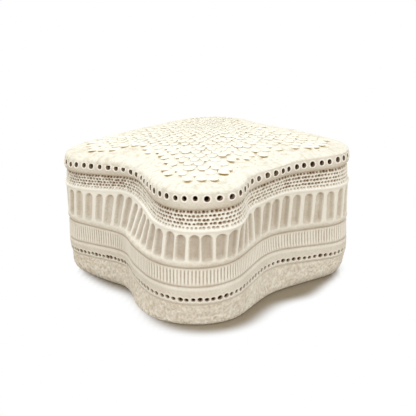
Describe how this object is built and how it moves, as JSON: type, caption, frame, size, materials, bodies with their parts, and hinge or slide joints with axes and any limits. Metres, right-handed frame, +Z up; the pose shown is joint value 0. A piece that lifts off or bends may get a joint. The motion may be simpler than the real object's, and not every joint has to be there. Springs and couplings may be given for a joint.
{
  "type": "vanity trinket box",
  "caption": "Low four-lobed stoneware box with a loose domed lid, carved in bands of pricks, reeds, flutes and dimples, for small trinkets.",
  "frame": {"origin": "on the table under the middle of the box", "axes": "+Z up, out of the lid; X and Y along the two pairs of lobes, the longer pair on Y"},
  "size_m": [0.1302, 0.1344, 0.063],
  "materials": {
    "carved_stoneware": "unglazed, carved and pricked, matt",
    "grogged_stoneware": "unglazed, stippled, gritty",
    "smooth_stoneware": "unglazed, sponged smooth"
  },
  "bodies": {
    "base": {"floor_slab": "smooth_stoneware", "foot_course": "grogged_stoneware", "pricked_course": "carved_stoneware", "reeded_course": "carved_stoneware", "fluted_course": "carved_stoneware", "dimpled_course": "carved_stoneware"},
    "lid": {"lid_rim": "carved_stoneware", "lid_crown": "grogged_stoneware", "lid_flange": "smooth_stoneware"}
  },
  "joints": [
    {"name": "lid_lift", "type": "slide", "parent": "base", "child": "lid", "axis": [0, 0, 1], "range_m": [0, 0.09]}
  ]
}
